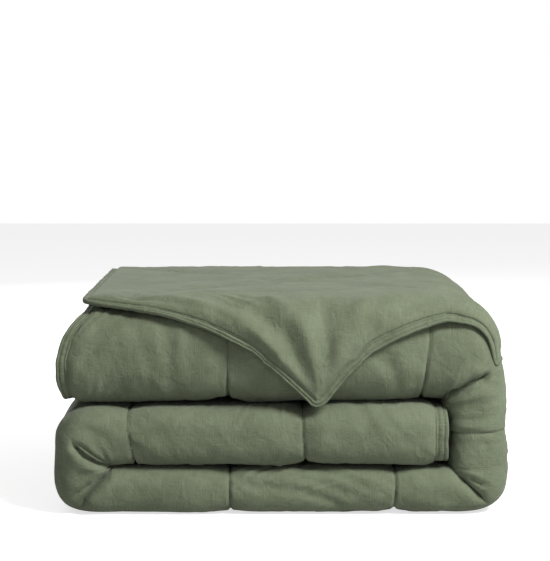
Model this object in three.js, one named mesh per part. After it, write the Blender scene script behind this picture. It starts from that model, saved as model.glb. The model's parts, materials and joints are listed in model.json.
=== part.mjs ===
// A queen-size quilted duvet, folded for the shelf.
//
// The duvet is quartered along its width into a strip of four plies, whose long fold is the rounded front.
// The strip is then rolled in three: it starts at its hemmed end in the middle run, turns down round the left
// end into the bottom run, turns up round the right end, and comes back over everything as the top run.
// One more ply is drawn over the top run, and its free corner hangs over the front as a turned-down corner.
//
// Millimetres. +X to the right, +Y to the back, +Z up.
// The origin is on the floor, under the middle of the stack.
import * as THREE from "three";

// ---- Driving dimensions -------------------------------------------------------------------------
const HALF_WIDTH = 318.5; // outer skin of both end turns
const BACK = 256; // where the plies end at the back, before their hems
const BOTTOM_FRONT = -253; // foremost line of each run's rounded front
const MIDDLE_FRONT = -257;
const TOP_FRONT = -247;
const BOTTOM_THICK = 65.5; // each run's thickness, four plies pressed together
const MIDDLE_THICK = 87.5;
const TOP_THICK = 126.5;
const END_TURN = 80; // how far a turn reaches past the end of the runs
const TURN_CORE = 1.5; // radius of the empty line that a turn goes round
const RUN_GAP = 2; // between the middle run and the top run
const TOP_END_SHORT = 14.5; // how far the top run's hemmed end stands back from the left-hand skin
const MIDDLE_END_SHORT = 12.5; // how far the middle run's hemmed end stops short of the right-hand turn
const OPENING_ROOM = 4; // the line that the top run opens about stays this far under the upper turn's centre

const FABRIC = 1.2; // a skin of cloth
const SEAT = 0.4; // clearance between pieces that touch
const SLIT = 0.8; // between the two arms of the innermost ply
const HEM_WIDTH = 7; // how far a hem stands out of the ply it closes
const HEM_THICK = 5;
const SQUARENESS = 2.7; // superellipse exponent of an end turn's outline, 2 being a plain ellipse

const SHEET_THICK = 15; // the single ply over the top
const SHEET_LIFT = 2; // room under it for the quilting seams
const SHEET_END_SHORT = 28; // how far its left end stands back from the top run's
const SHEET_END_THICK = 5; // where it ends on the right-hand turn
const FLAP_HINGE = 60; // degrees down the rounded front where the corner starts to hang
const FLAP_TIP_Z = 158;
const FLAP_TIP_WIDTH = 8;
const HEM_BAND = 9; // width of the stitched hem along the corner's edges
const HEM_SEAT = 1.6; // clearance between that hem and the cloth inside it, whose facets differ

const SEAM_WIDTH = 2.4; // a quilting seam, seen from the front
const SEAM_THICK = 0.8;
const SEAM_REACH = 72; // degrees above and below level
const ARC_STEPS = 10; // flats in a rounded front
const TURN_STEPS = 4; // sections in a quarter turn
const SHEET_TURN_STEPS = 3; // of those, how many the ply over the top follows
const SAME_POINT = 1e-3; // outline points nearer than this are one

// Where the quilting seams cross each run's front, along X.
const BOTTOM_SEAMS = [-72, 161];
const MIDDLE_SEAMS = [-206, 32];
const TOP_SEAMS = [-75, 203];

// The hanging corner's two edges as [X, Z] where each point lies on the front.
const FLAP_LEFT_EDGE = [[-110, 262], [-44, 221], [13, 180], [48, FLAP_TIP_Z]];
const FLAP_RIGHT_EDGE = [[198, 262], [168, 247], [132, 226], [97, 193], [56, FLAP_TIP_Z]];

// How far down the rounded front the ply over the top reaches, as [X, degrees], and at its left end: least at
// its ends, and down to the hinge over the corner. On the right-hand turn it keeps the last value.
const SHEET_BEND = [[-190, 40], [-114, 59], [200, 59], [236, 50]];
const SHEET_LEFT_BEND = 28;

const LABEL = { width: 46, height: 22, thick: 0.6, x: -150 };

// ---- Derived places -----------------------------------------------------------------------------
const TURN_X = HALF_WIDTH - END_TURN; // both turns' centre lines stand this far from the middle
const LOW_TURN_Z = BOTTOM_THICK + TURN_CORE; // centre of the turns that the bottom run starts and ends in
const MIDDLE_Z = LOW_TURN_Z + TURN_CORE; // underside of the middle run
const TOP_Z = MIDDLE_Z + MIDDLE_THICK + RUN_GAP; // underside of the top run
const HIGH_TURN_Z = TOP_Z - TURN_CORE;
const STACK_TOP = TOP_Z + TOP_THICK + SHEET_LIFT + SHEET_THICK;
// The top run opens about the outer skin at half height, so that it lands flat beside the rest.
const OPENING_Z = Math.min(STACK_TOP / 2, HIGH_TURN_Z - OPENING_ROOM);
const TOP_RUN_LEFT = TOP_END_SHORT - HALF_WIDTH;
const SHEET_LEFT = TOP_RUN_LEFT + SHEET_END_SHORT;
const MIDDLE_RUN_RIGHT = TURN_X - MIDDLE_END_SHORT;
const PLIES = 4;

const deg = THREE.MathUtils.degToRad;

// ---- Materials ----------------------------------------------------------------------------------
const cloth = (color, roughness) => new THREE.MeshStandardMaterial({ color, roughness, metalness: 0 });
const faceCloth = cloth(0x7c8872, 0.92);
const liningCloth = cloth(0x859079, 0.92);
const hemCloth = cloth(0x75816c, 0.9);
const thread = cloth(0x66725c, 0.8);
const batting = cloth(0xe9e7e0, 1.0);
const labelCloth = cloth(0xf1efe9, 0.8);

const duvet = new THREE.Group();

function place(name, geometry, material) {
  const mesh = new THREE.Mesh(geometry, material);
  mesh.name = name;
  duvet.add(mesh);
  return mesh;
}

// ---- Sections: outlines in (Y, distance from the inner skin) ------------------------------------

// A U-shaped ply with its closed side to the front, between two depths below the run's outer skin.
function plySection(thick, front, back, outer, inner) {
  const middle = thick / 2;
  const centre = front + middle;
  const section = new THREE.Shape();
  section.moveTo(back, outer);
  section.lineTo(centre, outer);
  section.absarc(centre, middle, middle - outer, -Math.PI / 2, Math.PI / 2, true);
  section.lineTo(back, thick - outer);
  section.lineTo(back, thick - inner);
  section.lineTo(centre, thick - inner);
  section.absarc(centre, middle, middle - inner, Math.PI / 2, -Math.PI / 2, false);
  section.lineTo(back, inner);
  section.closePath();
  return section;
}

// A slab that lies over a run's outer skin and bends some way down its rounded front.
function overlaySection(thick, front, back, low, high, bend) {
  const middle = thick / 2;
  const centre = front + middle;
  const end = Math.PI / 2 + deg(bend);
  const section = new THREE.Shape();
  section.moveTo(back, thick + low);
  section.lineTo(centre, thick + low);
  section.absarc(centre, middle, middle + low, Math.PI / 2, end, false);
  section.absarc(centre, middle, middle + high, end, Math.PI / 2, true);
  section.lineTo(back, thick + high);
  section.closePath();
  return section;
}

// A band round the front of a run, for a quilting seam.
function bandSection(thick, front, low, high, reach) {
  const middle = thick / 2;
  const centre = front + middle;
  const section = new THREE.Shape();
  section.absarc(centre, middle, middle + low, Math.PI - deg(reach), Math.PI + deg(reach), false);
  section.absarc(centre, middle, middle + high, Math.PI + deg(reach), Math.PI - deg(reach), true);
  section.closePath();
  return section;
}

// ---- Solids -------------------------------------------------------------------------------------

// Extrudes a (Y, Z) section along X.
function alongX(section, left, right, z = 0) {
  const geometry = new THREE.ExtrudeGeometry(section, {
    depth: right - left,
    bevelEnabled: false,
    curveSegments: ARC_STEPS,
  });
  const toX = new THREE.Matrix4().makeBasis(
    new THREE.Vector3(0, 1, 0),
    new THREE.Vector3(0, 0, 1),
    new THREE.Vector3(1, 0, 0),
  );
  return geometry.applyMatrix4(toX).translate(left, 0, z);
}

// Joins equal rings of points into one closed solid. outline is any ring's outline in two dimensions.
function loft(rings, outline) {
  const flat = [...outline];
  if (THREE.ShapeUtils.isClockWise(flat)) [flat, ...rings].forEach((ring) => ring.reverse());
  const count = rings[0].length;
  const index = [];
  for (let r = 0; r + 1 < rings.length; r++) {
    for (let i = 0; i < count; i++) {
      const a = r * count + i;
      const b = r * count + ((i + 1) % count);
      index.push(a, b, b + count, a, b + count, a + count);
    }
  }
  const last = (rings.length - 1) * count;
  for (const [a, b, c] of THREE.ShapeUtils.triangulateShape(flat, [])) {
    index.push(c, b, a, last + a, last + b, last + c);
  }
  const points = rings.flat();
  let volume = 0;
  for (let i = 0; i < index.length; i += 3) {
    const [a, b, c] = [0, 1, 2].map((k) => points[index[i + k]]);
    volume += a.dot(b.clone().cross(c));
  }
  if (volume < 0) index.reverse();
  const geometry = new THREE.BufferGeometry().setFromPoints(points);
  geometry.setIndex(index);
  geometry.computeVertexNormals();
  return geometry;
}

// A section stood on the line from an inner point towards an outer one, both as {x, z}.
function standing(section, core, outward, lift) {
  return section.map((p) => new THREE.Vector3(
    core.x + outward.x * (p.y + lift),
    p.x,
    core.z + outward.z * (p.y + lift),
  ));
}

// The stations of a turn: centre, outward direction and thickness.
// Angles are from level on the right, in degrees.
function fan(centre, from, to, reach, steps) {
  const stations = [];
  for (let i = 0; i <= steps; i++) {
    const angle = deg(from + ((to - from) * i) / steps);
    const [c, s] = [Math.cos(angle), Math.sin(angle)];
    const x = Math.sign(c) * reach.side * Math.abs(c) ** (2 / SQUARENESS);
    const z = Math.sign(s) * (s > 0 ? reach.up : reach.down) * Math.abs(s) ** (2 / SQUARENESS);
    const radius = Math.hypot(x, z);
    stations.push({ core: centre, outward: { x: x / radius, z: z / radius }, thick: radius - TURN_CORE });
  }
  return stations;
}

// An outline's points, without the ones that a curve's start or the closing line repeats.
function corners(section) {
  const points = section.getPoints(ARC_STEPS);
  return points.filter((p, i) => p.distanceTo(points[(i + 1) % points.length]) > SAME_POINT);
}

// Sweeps a section through stations. makeSection gets the thickness there and the share of the way along.
function throughStations(stations, makeSection) {
  const outlines = stations.map((station, i) => (
    corners(makeSection(station.thick, i / (stations.length - 1)))
  ));
  const rings = stations.map((station, i) => standing(outlines[i], station.core, station.outward, TURN_CORE));
  return loft(rings, outlines[0]);
}

const between = (a, b, share) => a + (b - a) * share;

// ---- The three runs: shell, outer batting, lining and inner batting, hems at the back -----------
function buildRun(name, run) {
  const { thick, front, z, left, right } = run;
  const ply = thick / PLIES;
  const depths = {
    shell: [0, FABRIC, faceCloth],
    outer_batting: [FABRIC + SEAT, ply - SEAT, batting],
    lining: [ply, ply + FABRIC, liningCloth],
    inner_batting: [ply + FABRIC + SEAT, thick / 2 - SLIT / 2, batting],
  };
  for (const [piece, [outer, inner, material]] of Object.entries(depths)) {
    const section = plySection(thick, front, BACK, outer, inner);
    place(`${name}_${piece}`, alongX(section, left, right, z), material);
  }

  // The back edge: the two lower plies share a fold, the two upper ones end in hems.
  const fold = new THREE.Shape();
  fold.moveTo(BACK + SEAT, SEAT);
  fold.absarc(BACK + SEAT, ply, ply - SEAT, -Math.PI / 2, Math.PI / 2, false);
  fold.closePath();
  const rounded = alongX(fold, left, right, z);
  rounded.translate(0, -BACK - SEAT, 0).scale(1, HEM_WIDTH / ply, 1).translate(0, BACK + SEAT, 0);
  place(`${name}_back_fold`, rounded, faceCloth);
  for (const [label, level] of [["inner", 2.5 * ply], ["outer", 3.5 * ply]]) {
    const hem = new THREE.Shape();
    hem.moveTo(BACK + SEAT, level - HEM_THICK / 2);
    hem.lineTo(BACK + HEM_WIDTH, level - HEM_THICK / 2);
    hem.lineTo(BACK + HEM_WIDTH, level + HEM_THICK / 2);
    hem.lineTo(BACK + SEAT, level + HEM_THICK / 2);
    hem.closePath();
    place(`${name}_back_hem_${label}`, alongX(hem, left, right, z), hemCloth);
  }
}

// The hems that close a run's end, one round each U of plies.
function buildEndHems(name, run, from, to) {
  const ply = run.thick / PLIES;
  for (const [label, depth] of [["outer", ply / 2], ["inner", 1.5 * ply]]) {
    const section = plySection(run.thick, run.front, BACK, depth - HEM_THICK / 2, depth + HEM_THICK / 2);
    place(`${name}_end_hem_${label}`, alongX(section, from, to, run.z), hemCloth);
  }
}

function buildSeams(name, run, places) {
  const section = bandSection(run.thick, run.front, SEAT, SEAT + SEAM_THICK, SEAM_REACH);
  places.forEach((x, i) => {
    const seam = alongX(section, x - SEAM_WIDTH / 2, x + SEAM_WIDTH / 2, run.z);
    place(`${name}_quilting_seam_${i + 1}`, seam, thread);
  });
}

const bottomRun = {
  thick: BOTTOM_THICK, front: BOTTOM_FRONT, z: 0, left: -TURN_X + SEAT, right: TURN_X - SEAT,
};
const middleRun = {
  thick: MIDDLE_THICK, front: MIDDLE_FRONT, z: MIDDLE_Z, left: -TURN_X + SEAT, right: MIDDLE_RUN_RIGHT,
};
const topRun = {
  thick: TOP_THICK, front: TOP_FRONT, z: TOP_Z, left: TOP_RUN_LEFT, right: TURN_X - SEAT,
};

buildRun("bottom", bottomRun);
buildRun("middle", middleRun);
buildRun("top", topRun);
buildEndHems("middle", middleRun, MIDDLE_RUN_RIGHT + SEAT, MIDDLE_RUN_RIGHT + SEAT + HEM_WIDTH);
buildEndHems("top", topRun, TOP_RUN_LEFT - SEAT - HEM_WIDTH, TOP_RUN_LEFT - SEAT);
buildSeams("bottom", bottomRun, BOTTOM_SEAMS);
buildSeams("middle", middleRun, MIDDLE_SEAMS);
buildSeams("top", topRun, TOP_SEAMS);

// ---- The end turns: a shell round one solid of batting ------------------------------------------
function buildTurn(name, stations, frontFrom, frontTo) {
  const front = (share) => between(frontFrom, frontTo, share);
  place(`${name}_shell`, throughStations(stations, (thick, share) => (
    plySection(thick, front(share), BACK, 0, FABRIC)
  )), faceCloth);
  const depth = FABRIC + SEAT;
  place(`${name}_batting`, throughStations(stations, (thick, share) => (
    plySection(thick, front(share), BACK, depth, thick / 2 - SLIT / 2)
  )), batting);
}

const lowReach = { side: END_TURN, up: TURN_CORE + MIDDLE_THICK, down: TURN_CORE + BOTTOM_THICK };
const highReach = { side: END_TURN, up: TURN_CORE + TOP_THICK, down: 0 };
const leftCentre = { x: -TURN_X, z: LOW_TURN_Z };
const lowRightCentre = { x: TURN_X, z: LOW_TURN_Z };
const highRightCentre = { x: TURN_X, z: HIGH_TURN_Z };

// A level section of the upright stretch between the two right-hand turns.
const upright = (z) => ({ core: { x: TURN_X, z }, outward: { x: 1, z: 0 }, thick: END_TURN - TURN_CORE });

buildTurn("left_turn", fan(leftCentre, 90, 270, lowReach, 2 * TURN_STEPS), MIDDLE_FRONT, BOTTOM_FRONT);
buildTurn(
  "lower_right_turn",
  [...fan(lowRightCentre, -90, 0, lowReach, TURN_STEPS), upright(OPENING_Z - SEAT)],
  BOTTOM_FRONT,
  BOTTOM_FRONT,
);
buildTurn(
  "upper_right_turn",
  [upright(OPENING_Z + SEAT), ...fan(highRightCentre, 0, 90, highReach, TURN_STEPS)],
  BOTTOM_FRONT,
  TOP_FRONT,
);

// The one quilting seam on the upright stretch, level with the middle run's lower half.
const uprightSeamZ = 111;
const uprightSeam = [uprightSeamZ - SEAM_WIDTH / 2, uprightSeamZ + SEAM_WIDTH / 2].map(upright);
place("right_turn_quilting_seam", throughStations(uprightSeam, (thick) => (
  bandSection(thick, BOTTOM_FRONT, SEAT, SEAT + SEAM_THICK, SEAM_REACH)
)), thread);

// ---- The ply over the top -----------------------------------------------------------------------
const overRun = (x) => ({
  core: { x, z: HIGH_TURN_Z }, outward: { x: 0, z: 1 }, thick: TOP_THICK,
});
const sheetBends = [[SHEET_LEFT, SHEET_LEFT_BEND], ...SHEET_BEND];
const sheetTurn = fan(highRightCentre, 90, 0, highReach, TURN_STEPS).slice(0, SHEET_TURN_STEPS + 1);
const sheetStations = [
  ...sheetBends.map(([x, bend]) => ({ ...overRun(x), front: TOP_FRONT, bend, full: SHEET_THICK })),
  ...sheetTurn.map((station, i) => ({
    ...station,
    front: between(TOP_FRONT, BOTTOM_FRONT, i / (TURN_STEPS + 1)),
    bend: SHEET_BEND.at(-1)[1],
    full: between(SHEET_THICK, SHEET_END_THICK, i / SHEET_TURN_STEPS),
  })),
];

function buildSheetLayer(name, material, low, high) {
  place(name, throughStations(sheetStations, (thick, share) => {
    const { front, bend, full } = sheetStations[Math.round(share * (sheetStations.length - 1))];
    return overlaySection(thick, front, BACK, SHEET_LIFT + low(full), SHEET_LIFT + high(full), bend);
  }), material);
}
buildSheetLayer("top_ply_lining", liningCloth, () => 0, () => FABRIC);
buildSheetLayer("top_ply_batting", batting, () => FABRIC + SEAT, (full) => full - FABRIC - SEAT);
buildSheetLayer("top_ply_face", faceCloth, (full) => full - FABRIC, (full) => full);

// Hems along the top ply's left end and its back edge, half way up its thickness.
const sheetHemLow = SHEET_LIFT + (SHEET_THICK - HEM_THICK) / 2;
const sheetHemHigh = sheetHemLow + HEM_THICK;
const sheetEnd = overlaySection(TOP_THICK, TOP_FRONT, BACK, sheetHemLow, sheetHemHigh, SHEET_LEFT_BEND);
place("top_ply_end_hem", alongX(sheetEnd, SHEET_LEFT - SEAT - HEM_WIDTH, SHEET_LEFT - SEAT, TOP_Z), hemCloth);
const sheetBack = new THREE.Shape();
sheetBack.moveTo(BACK + SEAT, TOP_THICK + sheetHemLow);
sheetBack.lineTo(BACK + HEM_WIDTH, TOP_THICK + sheetHemLow);
sheetBack.lineTo(BACK + HEM_WIDTH, TOP_THICK + sheetHemHigh);
sheetBack.lineTo(BACK + SEAT, TOP_THICK + sheetHemHigh);
sheetBack.closePath();
place("top_ply_back_hem", alongX(sheetBack, SHEET_LEFT, TURN_X, TOP_Z), hemCloth);

// ---- The turned-down corner ---------------------------------------------------------------------
const topCentreY = TOP_FRONT + TOP_THICK / 2;
const topCentreZ = TOP_Z + TOP_THICK / 2;

// A point at some distance off the top run's front: an arc from the hinge to level, then straight down.
function overFront(z, off) {
  const radius = TOP_THICK / 2 + off;
  if (z <= topCentreZ) return { y: topCentreY - radius, z };
  const skin = TOP_THICK / 2 + SHEET_LIFT + SHEET_THICK;
  const angle = Math.asin(Math.min(1, (z - topCentreZ) / skin));
  return { y: topCentreY - radius * Math.cos(angle), z: topCentreZ + radius * Math.sin(angle) };
}

// X of an edge at a height, read off its points.
function edgeAt(edge, z) {
  for (let i = 0; i + 1 < edge.length; i++) {
    const [[x0, z0], [x1, z1]] = [edge[i], edge[i + 1]];
    if (z >= z1) return between(x0, x1, THREE.MathUtils.clamp((z0 - z) / (z0 - z1), 0, 1));
  }
  return edge[edge.length - 1][0];
}

const hingeAngle = deg(90 - FLAP_HINGE);
const hingeSkin = TOP_THICK / 2 + SHEET_LIFT + SHEET_THICK;
const hingeZ = topCentreZ + hingeSkin * Math.sin(hingeAngle);
const flapLevels = [];
const FLAP_STEPS = 18;
for (let i = 0; i <= FLAP_STEPS; i++) flapLevels.push(between(hingeZ, FLAP_TIP_Z, i / FLAP_STEPS));

// A strip of the corner between two edges, given as X by height, and two distances off the run's skin.
function buildFlapStrip(name, material, leftAt, rightAt, low, high) {
  const rings = flapLevels.map((z) => {
    const [near, far] = [overFront(z, SHEET_LIFT + high), overFront(z, SHEET_LIFT + low)];
    const [left, right] = [leftAt(z), rightAt(z)];
    return [
      new THREE.Vector3(left, near.y, near.z),
      new THREE.Vector3(right, near.y, near.z),
      new THREE.Vector3(right, far.y, far.z),
      new THREE.Vector3(left, far.y, far.z),
    ];
  });
  const flat = [[0, 0], [1, 0], [1, 1], [0, 1]].map(([x, y]) => new THREE.Vector2(x, y));
  place(name, loft(rings, flat), material);
}

const leftEdge = (z) => edgeAt(FLAP_LEFT_EDGE, z) - HEM_BAND * 0.5;
const rightEdge = (z) => edgeAt(FLAP_RIGHT_EDGE, z) + HEM_BAND * 0.5;
const hemInLeft = (z) => leftEdge(z) + HEM_BAND;
const hemInRight = (z) => rightEdge(z) - HEM_BAND;
// Near the tip the two hems meet on this line, so the cloth between them keeps a little width.
const tipMiddle = (FLAP_LEFT_EDGE.at(-1)[0] + FLAP_RIGHT_EDGE.at(-1)[0]) / 2;
const hemLeftInner = (z) => Math.min(hemInLeft(z), tipMiddle - FLAP_TIP_WIDTH / 4);
const hemRightInner = (z) => Math.max(hemInRight(z), tipMiddle + FLAP_TIP_WIDTH / 4);
const clothLeft = (z) => Math.min(hemLeftInner(z) + HEM_SEAT, tipMiddle - SEAT);
const clothRight = (z) => Math.max(hemRightInner(z) - HEM_SEAT, tipMiddle + SEAT);

buildFlapStrip("corner_lining", liningCloth, clothLeft, clothRight, 0, FABRIC);
buildFlapStrip("corner_batting", batting, clothLeft, clothRight, FABRIC + SEAT, SHEET_THICK - FABRIC - SEAT);
buildFlapStrip("corner_face", faceCloth, clothLeft, clothRight, SHEET_THICK - FABRIC, SHEET_THICK);
const hemLow = (SHEET_THICK - HEM_THICK) / 2;
buildFlapStrip("corner_hem_left", hemCloth, leftEdge, hemLeftInner, hemLow, hemLow + HEM_THICK);
buildFlapStrip("corner_hem_right", hemCloth, hemRightInner, rightEdge, hemLow, hemLow + HEM_THICK);

// ---- A blank care label, sewn into the bottom run's back edge -----------------------------------
const label = new THREE.BoxGeometry(LABEL.width, LABEL.thick, LABEL.height);
const labelTop = BOTTOM_THICK - RUN_GAP;
label.translate(LABEL.x, BACK + HEM_WIDTH + SEAT + LABEL.thick / 2, labelTop - LABEL.height / 2);
place("care_label", label, labelCloth);

export default duvet;
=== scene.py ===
# %% [markdown]
# # A folded duvet
# A quilted duvet is two sheets of cotton with batting between them, sewn through in large boxes. It is folded
# into a strip four plies thick, rolled in three, and one more ply is drawn over the top with its corner turned
# down over the front. Every fold here is one swept skin: a flat grid is bent into a section, and the section is
# carried along the strip, so that the cloth, its weave and its seams all follow the fold.

# %% The frame that everything is built round
import json
import math

import bmesh
import bpy
import numpy as np
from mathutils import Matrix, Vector

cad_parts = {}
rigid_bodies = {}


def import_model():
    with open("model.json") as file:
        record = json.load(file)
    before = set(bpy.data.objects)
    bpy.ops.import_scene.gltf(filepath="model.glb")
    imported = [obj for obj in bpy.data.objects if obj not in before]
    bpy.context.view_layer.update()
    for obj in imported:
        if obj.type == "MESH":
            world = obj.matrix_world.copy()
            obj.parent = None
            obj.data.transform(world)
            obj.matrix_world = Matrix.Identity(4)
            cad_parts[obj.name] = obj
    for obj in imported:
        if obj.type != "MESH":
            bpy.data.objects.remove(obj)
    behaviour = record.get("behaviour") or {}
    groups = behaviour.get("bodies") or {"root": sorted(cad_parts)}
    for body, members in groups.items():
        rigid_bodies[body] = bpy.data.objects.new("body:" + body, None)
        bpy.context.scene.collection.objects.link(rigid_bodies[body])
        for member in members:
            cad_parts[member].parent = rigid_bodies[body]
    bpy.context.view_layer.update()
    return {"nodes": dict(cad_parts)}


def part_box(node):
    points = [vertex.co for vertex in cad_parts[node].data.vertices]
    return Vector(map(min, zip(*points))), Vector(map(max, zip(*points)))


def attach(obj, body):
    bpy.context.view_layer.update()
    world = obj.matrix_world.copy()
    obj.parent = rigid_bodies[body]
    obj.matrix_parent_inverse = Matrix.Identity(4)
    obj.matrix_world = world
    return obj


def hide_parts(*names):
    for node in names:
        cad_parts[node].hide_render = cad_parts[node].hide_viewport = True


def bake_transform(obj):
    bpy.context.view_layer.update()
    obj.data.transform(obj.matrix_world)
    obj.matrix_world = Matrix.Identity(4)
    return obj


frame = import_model()
first_objects = {piece.name for piece in bpy.context.scene.objects}

# %% [markdown]
# The camera comes first, because everything is judged through it. It stands about 2.4 m in front
# with a long lens, a little above the stack, and looks slightly down on it.

# %% Camera
FRONT_TO_CAMERA = 2.377
CAMERA_HEIGHT = 0.558
CAMERA_SIDE = -0.0085
TILT_DOWN = 5.56
LENS = 112.8  # mm, on a 36 mm sensor

middle_low, middle_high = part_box("middle_shell")
camera = bpy.data.objects.new("camera", bpy.data.cameras.new("camera"))
camera.data.lens = LENS
camera.data.sensor_width = 36
camera.data.clip_end = 50
camera.location = (CAMERA_SIDE, middle_low.y - FRONT_TO_CAMERA, CAMERA_HEIGHT)
camera.rotation_euler = (math.radians(90 - TILT_DOWN), 0, 0)
bpy.context.scene.collection.objects.link(camera)
bpy.context.scene.camera = camera
bpy.context.scene.view_settings.view_transform = "Standard"
print("camera", [round(v, 3) for v in camera.location], LENS, "mm")

# %% [markdown]
# Sizes are read from the frame: each run is a flat stretch of the strip, and each turn is the strip going round
# a line across the stack. The strip's thickness is measured from that line outwards.

# %% Sizes from the frame
bottom_low, bottom_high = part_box("bottom_shell")
top_low, top_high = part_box("top_shell")
turn_low, turn_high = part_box("lower_right_turn_shell")
_, sheet_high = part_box("top_ply_face")

BACK = bottom_high.y
TURN_X = turn_low.x - 0.005  # the cloth is folded a little further in than the turn's solid
HIGH_TURN_X = TURN_X - 0.008
HALF_WIDTH = turn_high.x - 0.003
BOTTOM_THICK = bottom_high.z
MIDDLE_THICK = middle_high.z - middle_low.z
TOP_THICK = top_high.z - top_low.z
CORE = (middle_low.z - bottom_high.z) / 2  # the line that a turn goes round has this radius
LOW_PIVOT = bottom_high.z + CORE
HIGH_PIVOT = top_low.z - CORE
ROUNDNESS = 2.5  # of the fronts, 2 being a half circle
MITRE = -44.5  # degrees from level: the crease where the bottom run meets the right-hand turn
print("strip thickness", [round(t, 4) for t in (BOTTOM_THICK, MIDDLE_THICK, TOP_THICK)])

# %% [markdown]
# ## The strip's path
# A station of the path is a place on the inner line, a direction outwards, a thickness and a front. Runs are
# straight, and turns fan out round their pivot. Paths are kept finely and sampled where the detail needs it:
# sparsely along a plain stretch, closely beside a seam or a crease.

# %% Paths
def run_path(x_from, x_to, inner_z, side, thick, front):
    """Stations of a flat run, one a millimetre. side is 1 when the outer skin is above, -1 below."""
    count = int(abs(x_to - x_from) * 1000) + 2
    x = np.linspace(x_from, x_to, count)
    one = np.ones(count)
    return np.stack([x, inner_z * one, 0 * one, side * one, thick * one, front * one], 1)


def turn_path(pivot_x, pivot_z, reach, squareness, angle_from, angle_to, front_from, front_to):
    """Stations of a turn: reach is how far the skin stands out sideways, upwards and downwards."""
    side, up, down = reach
    a = np.radians(np.linspace(-180, 270, 4501))
    x = np.sign(np.cos(a)) * side * np.abs(np.cos(a)) ** (2 / squareness)
    z = np.sin(a)
    z = np.where(z > 0, up, down) * np.sign(z) * np.abs(z) ** (2 / squareness)
    radius = np.hypot(x, z)
    around = np.unwrap(np.arctan2(z, x))
    around += math.radians(-180) - around[0]
    angle = np.radians(np.linspace(angle_from, angle_to, int(abs(angle_to - angle_from)) + 2))
    r = np.interp(angle, around, radius)
    cx, cz = np.cos(angle), np.sin(angle)
    share = np.linspace(0, 1, len(angle))
    front = front_from + (front_to - front_from) * share
    return np.stack([pivot_x + CORE * cx, pivot_z + CORE * cz, cx, cz, r - CORE, front], 1)


def join_paths(*parts):
    """One path from several, with the distance along the middle of the strip as its first column."""
    rows = [parts[0]] + [p[1:] for p in parts[1:]]
    path = np.concatenate(rows)
    middle = path[:, 0:2] + path[:, 2:4] * path[:, 4:5] / 2
    step = np.hypot(*np.diff(middle, axis=0).T)
    return np.column_stack([np.concatenate([[0], np.cumsum(step)]), path])


def spread(length, step, close_to=(), fine=0.0012, growth=0.16):
    """Distances along a path, step apart, and closer beside the places in close_to."""
    dense = np.linspace(0, length, 6000)
    gap = np.full(len(dense), step)
    for place in close_to:
        gap = np.minimum(gap, fine + growth * np.abs(dense - place))
    count = np.concatenate([[0], np.cumsum(np.diff(dense) / gap[:-1])])
    distances = np.interp(np.linspace(0, count[-1], int(count[-1]) + 2), count, dense)
    for place in close_to:
        nearest = int(np.argmin(np.abs(distances - place)))
        if 0 < nearest < len(distances) - 1:
            distances[nearest] = place
    return distances


def sample(path, distances):
    return np.stack([np.interp(distances, path[:, 0], path[:, k]) for k in range(path.shape[1])], 1)


low_reach = (HALF_WIDTH - TURN_X, CORE + MIDDLE_THICK, CORE + BOTTOM_THICK)
high_reach = (HALF_WIDTH - HIGH_TURN_X, CORE + TOP_THICK, 0)
LEFT_SQUARENESS, LOW_SQUARENESS, HIGH_SQUARENESS = 3.5, 3.2, 2.35
MIDDLE_END_X, TOP_END_X = 0.214, top_low.x + 0.0095  # where the runs' cloth ends and their hems start
middle_run = run_path(MIDDLE_END_X, -TURN_X, middle_low.z, 1, MIDDLE_THICK, middle_low.y)
left_turn = turn_path(-TURN_X, LOW_PIVOT, low_reach, LEFT_SQUARENESS, 90, 270, middle_low.y, bottom_low.y)
bottom_run = run_path(-TURN_X, TURN_X, BOTTOM_THICK, -1, BOTTOM_THICK, bottom_low.y)
low_turn = (TURN_X, LOW_PIVOT, low_reach, LOW_SQUARENESS)
to_mitre = turn_path(*low_turn, -90, MITRE, bottom_low.y, bottom_low.y)
from_mitre = turn_path(*low_turn, MITRE, 0, bottom_low.y, bottom_low.y)
high_turn = turn_path(
    HIGH_TURN_X, HIGH_PIVOT, high_reach, HIGH_SQUARENESS, 0, 90, bottom_low.y, top_low.y
)
top_run = run_path(HIGH_TURN_X, TOP_END_X, top_low.z, 1, TOP_THICK, top_low.y)

lower_path = join_paths(middle_run, left_turn, bottom_run, to_mitre)
upper_path = join_paths(from_mitre, high_turn, top_run)
print("strip", round(lower_path[-1, 0], 3), "+", round(upper_path[-1, 0], 3), "m")

# %% [markdown]
# ## The section, and the relief of the cloth
# Across the strip, a skin runs forward over the outer side, round the front and back along the inner side. The
# relief is what makes it cloth: valleys where the quilting pulls it in, creases where a fold is pressed against
# its neighbour, puckers beside the stitches, and loose wrinkles along the roll.

# %% Sections
FLAT_POINTS = 34
ARC_POINTS = 46


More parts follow.
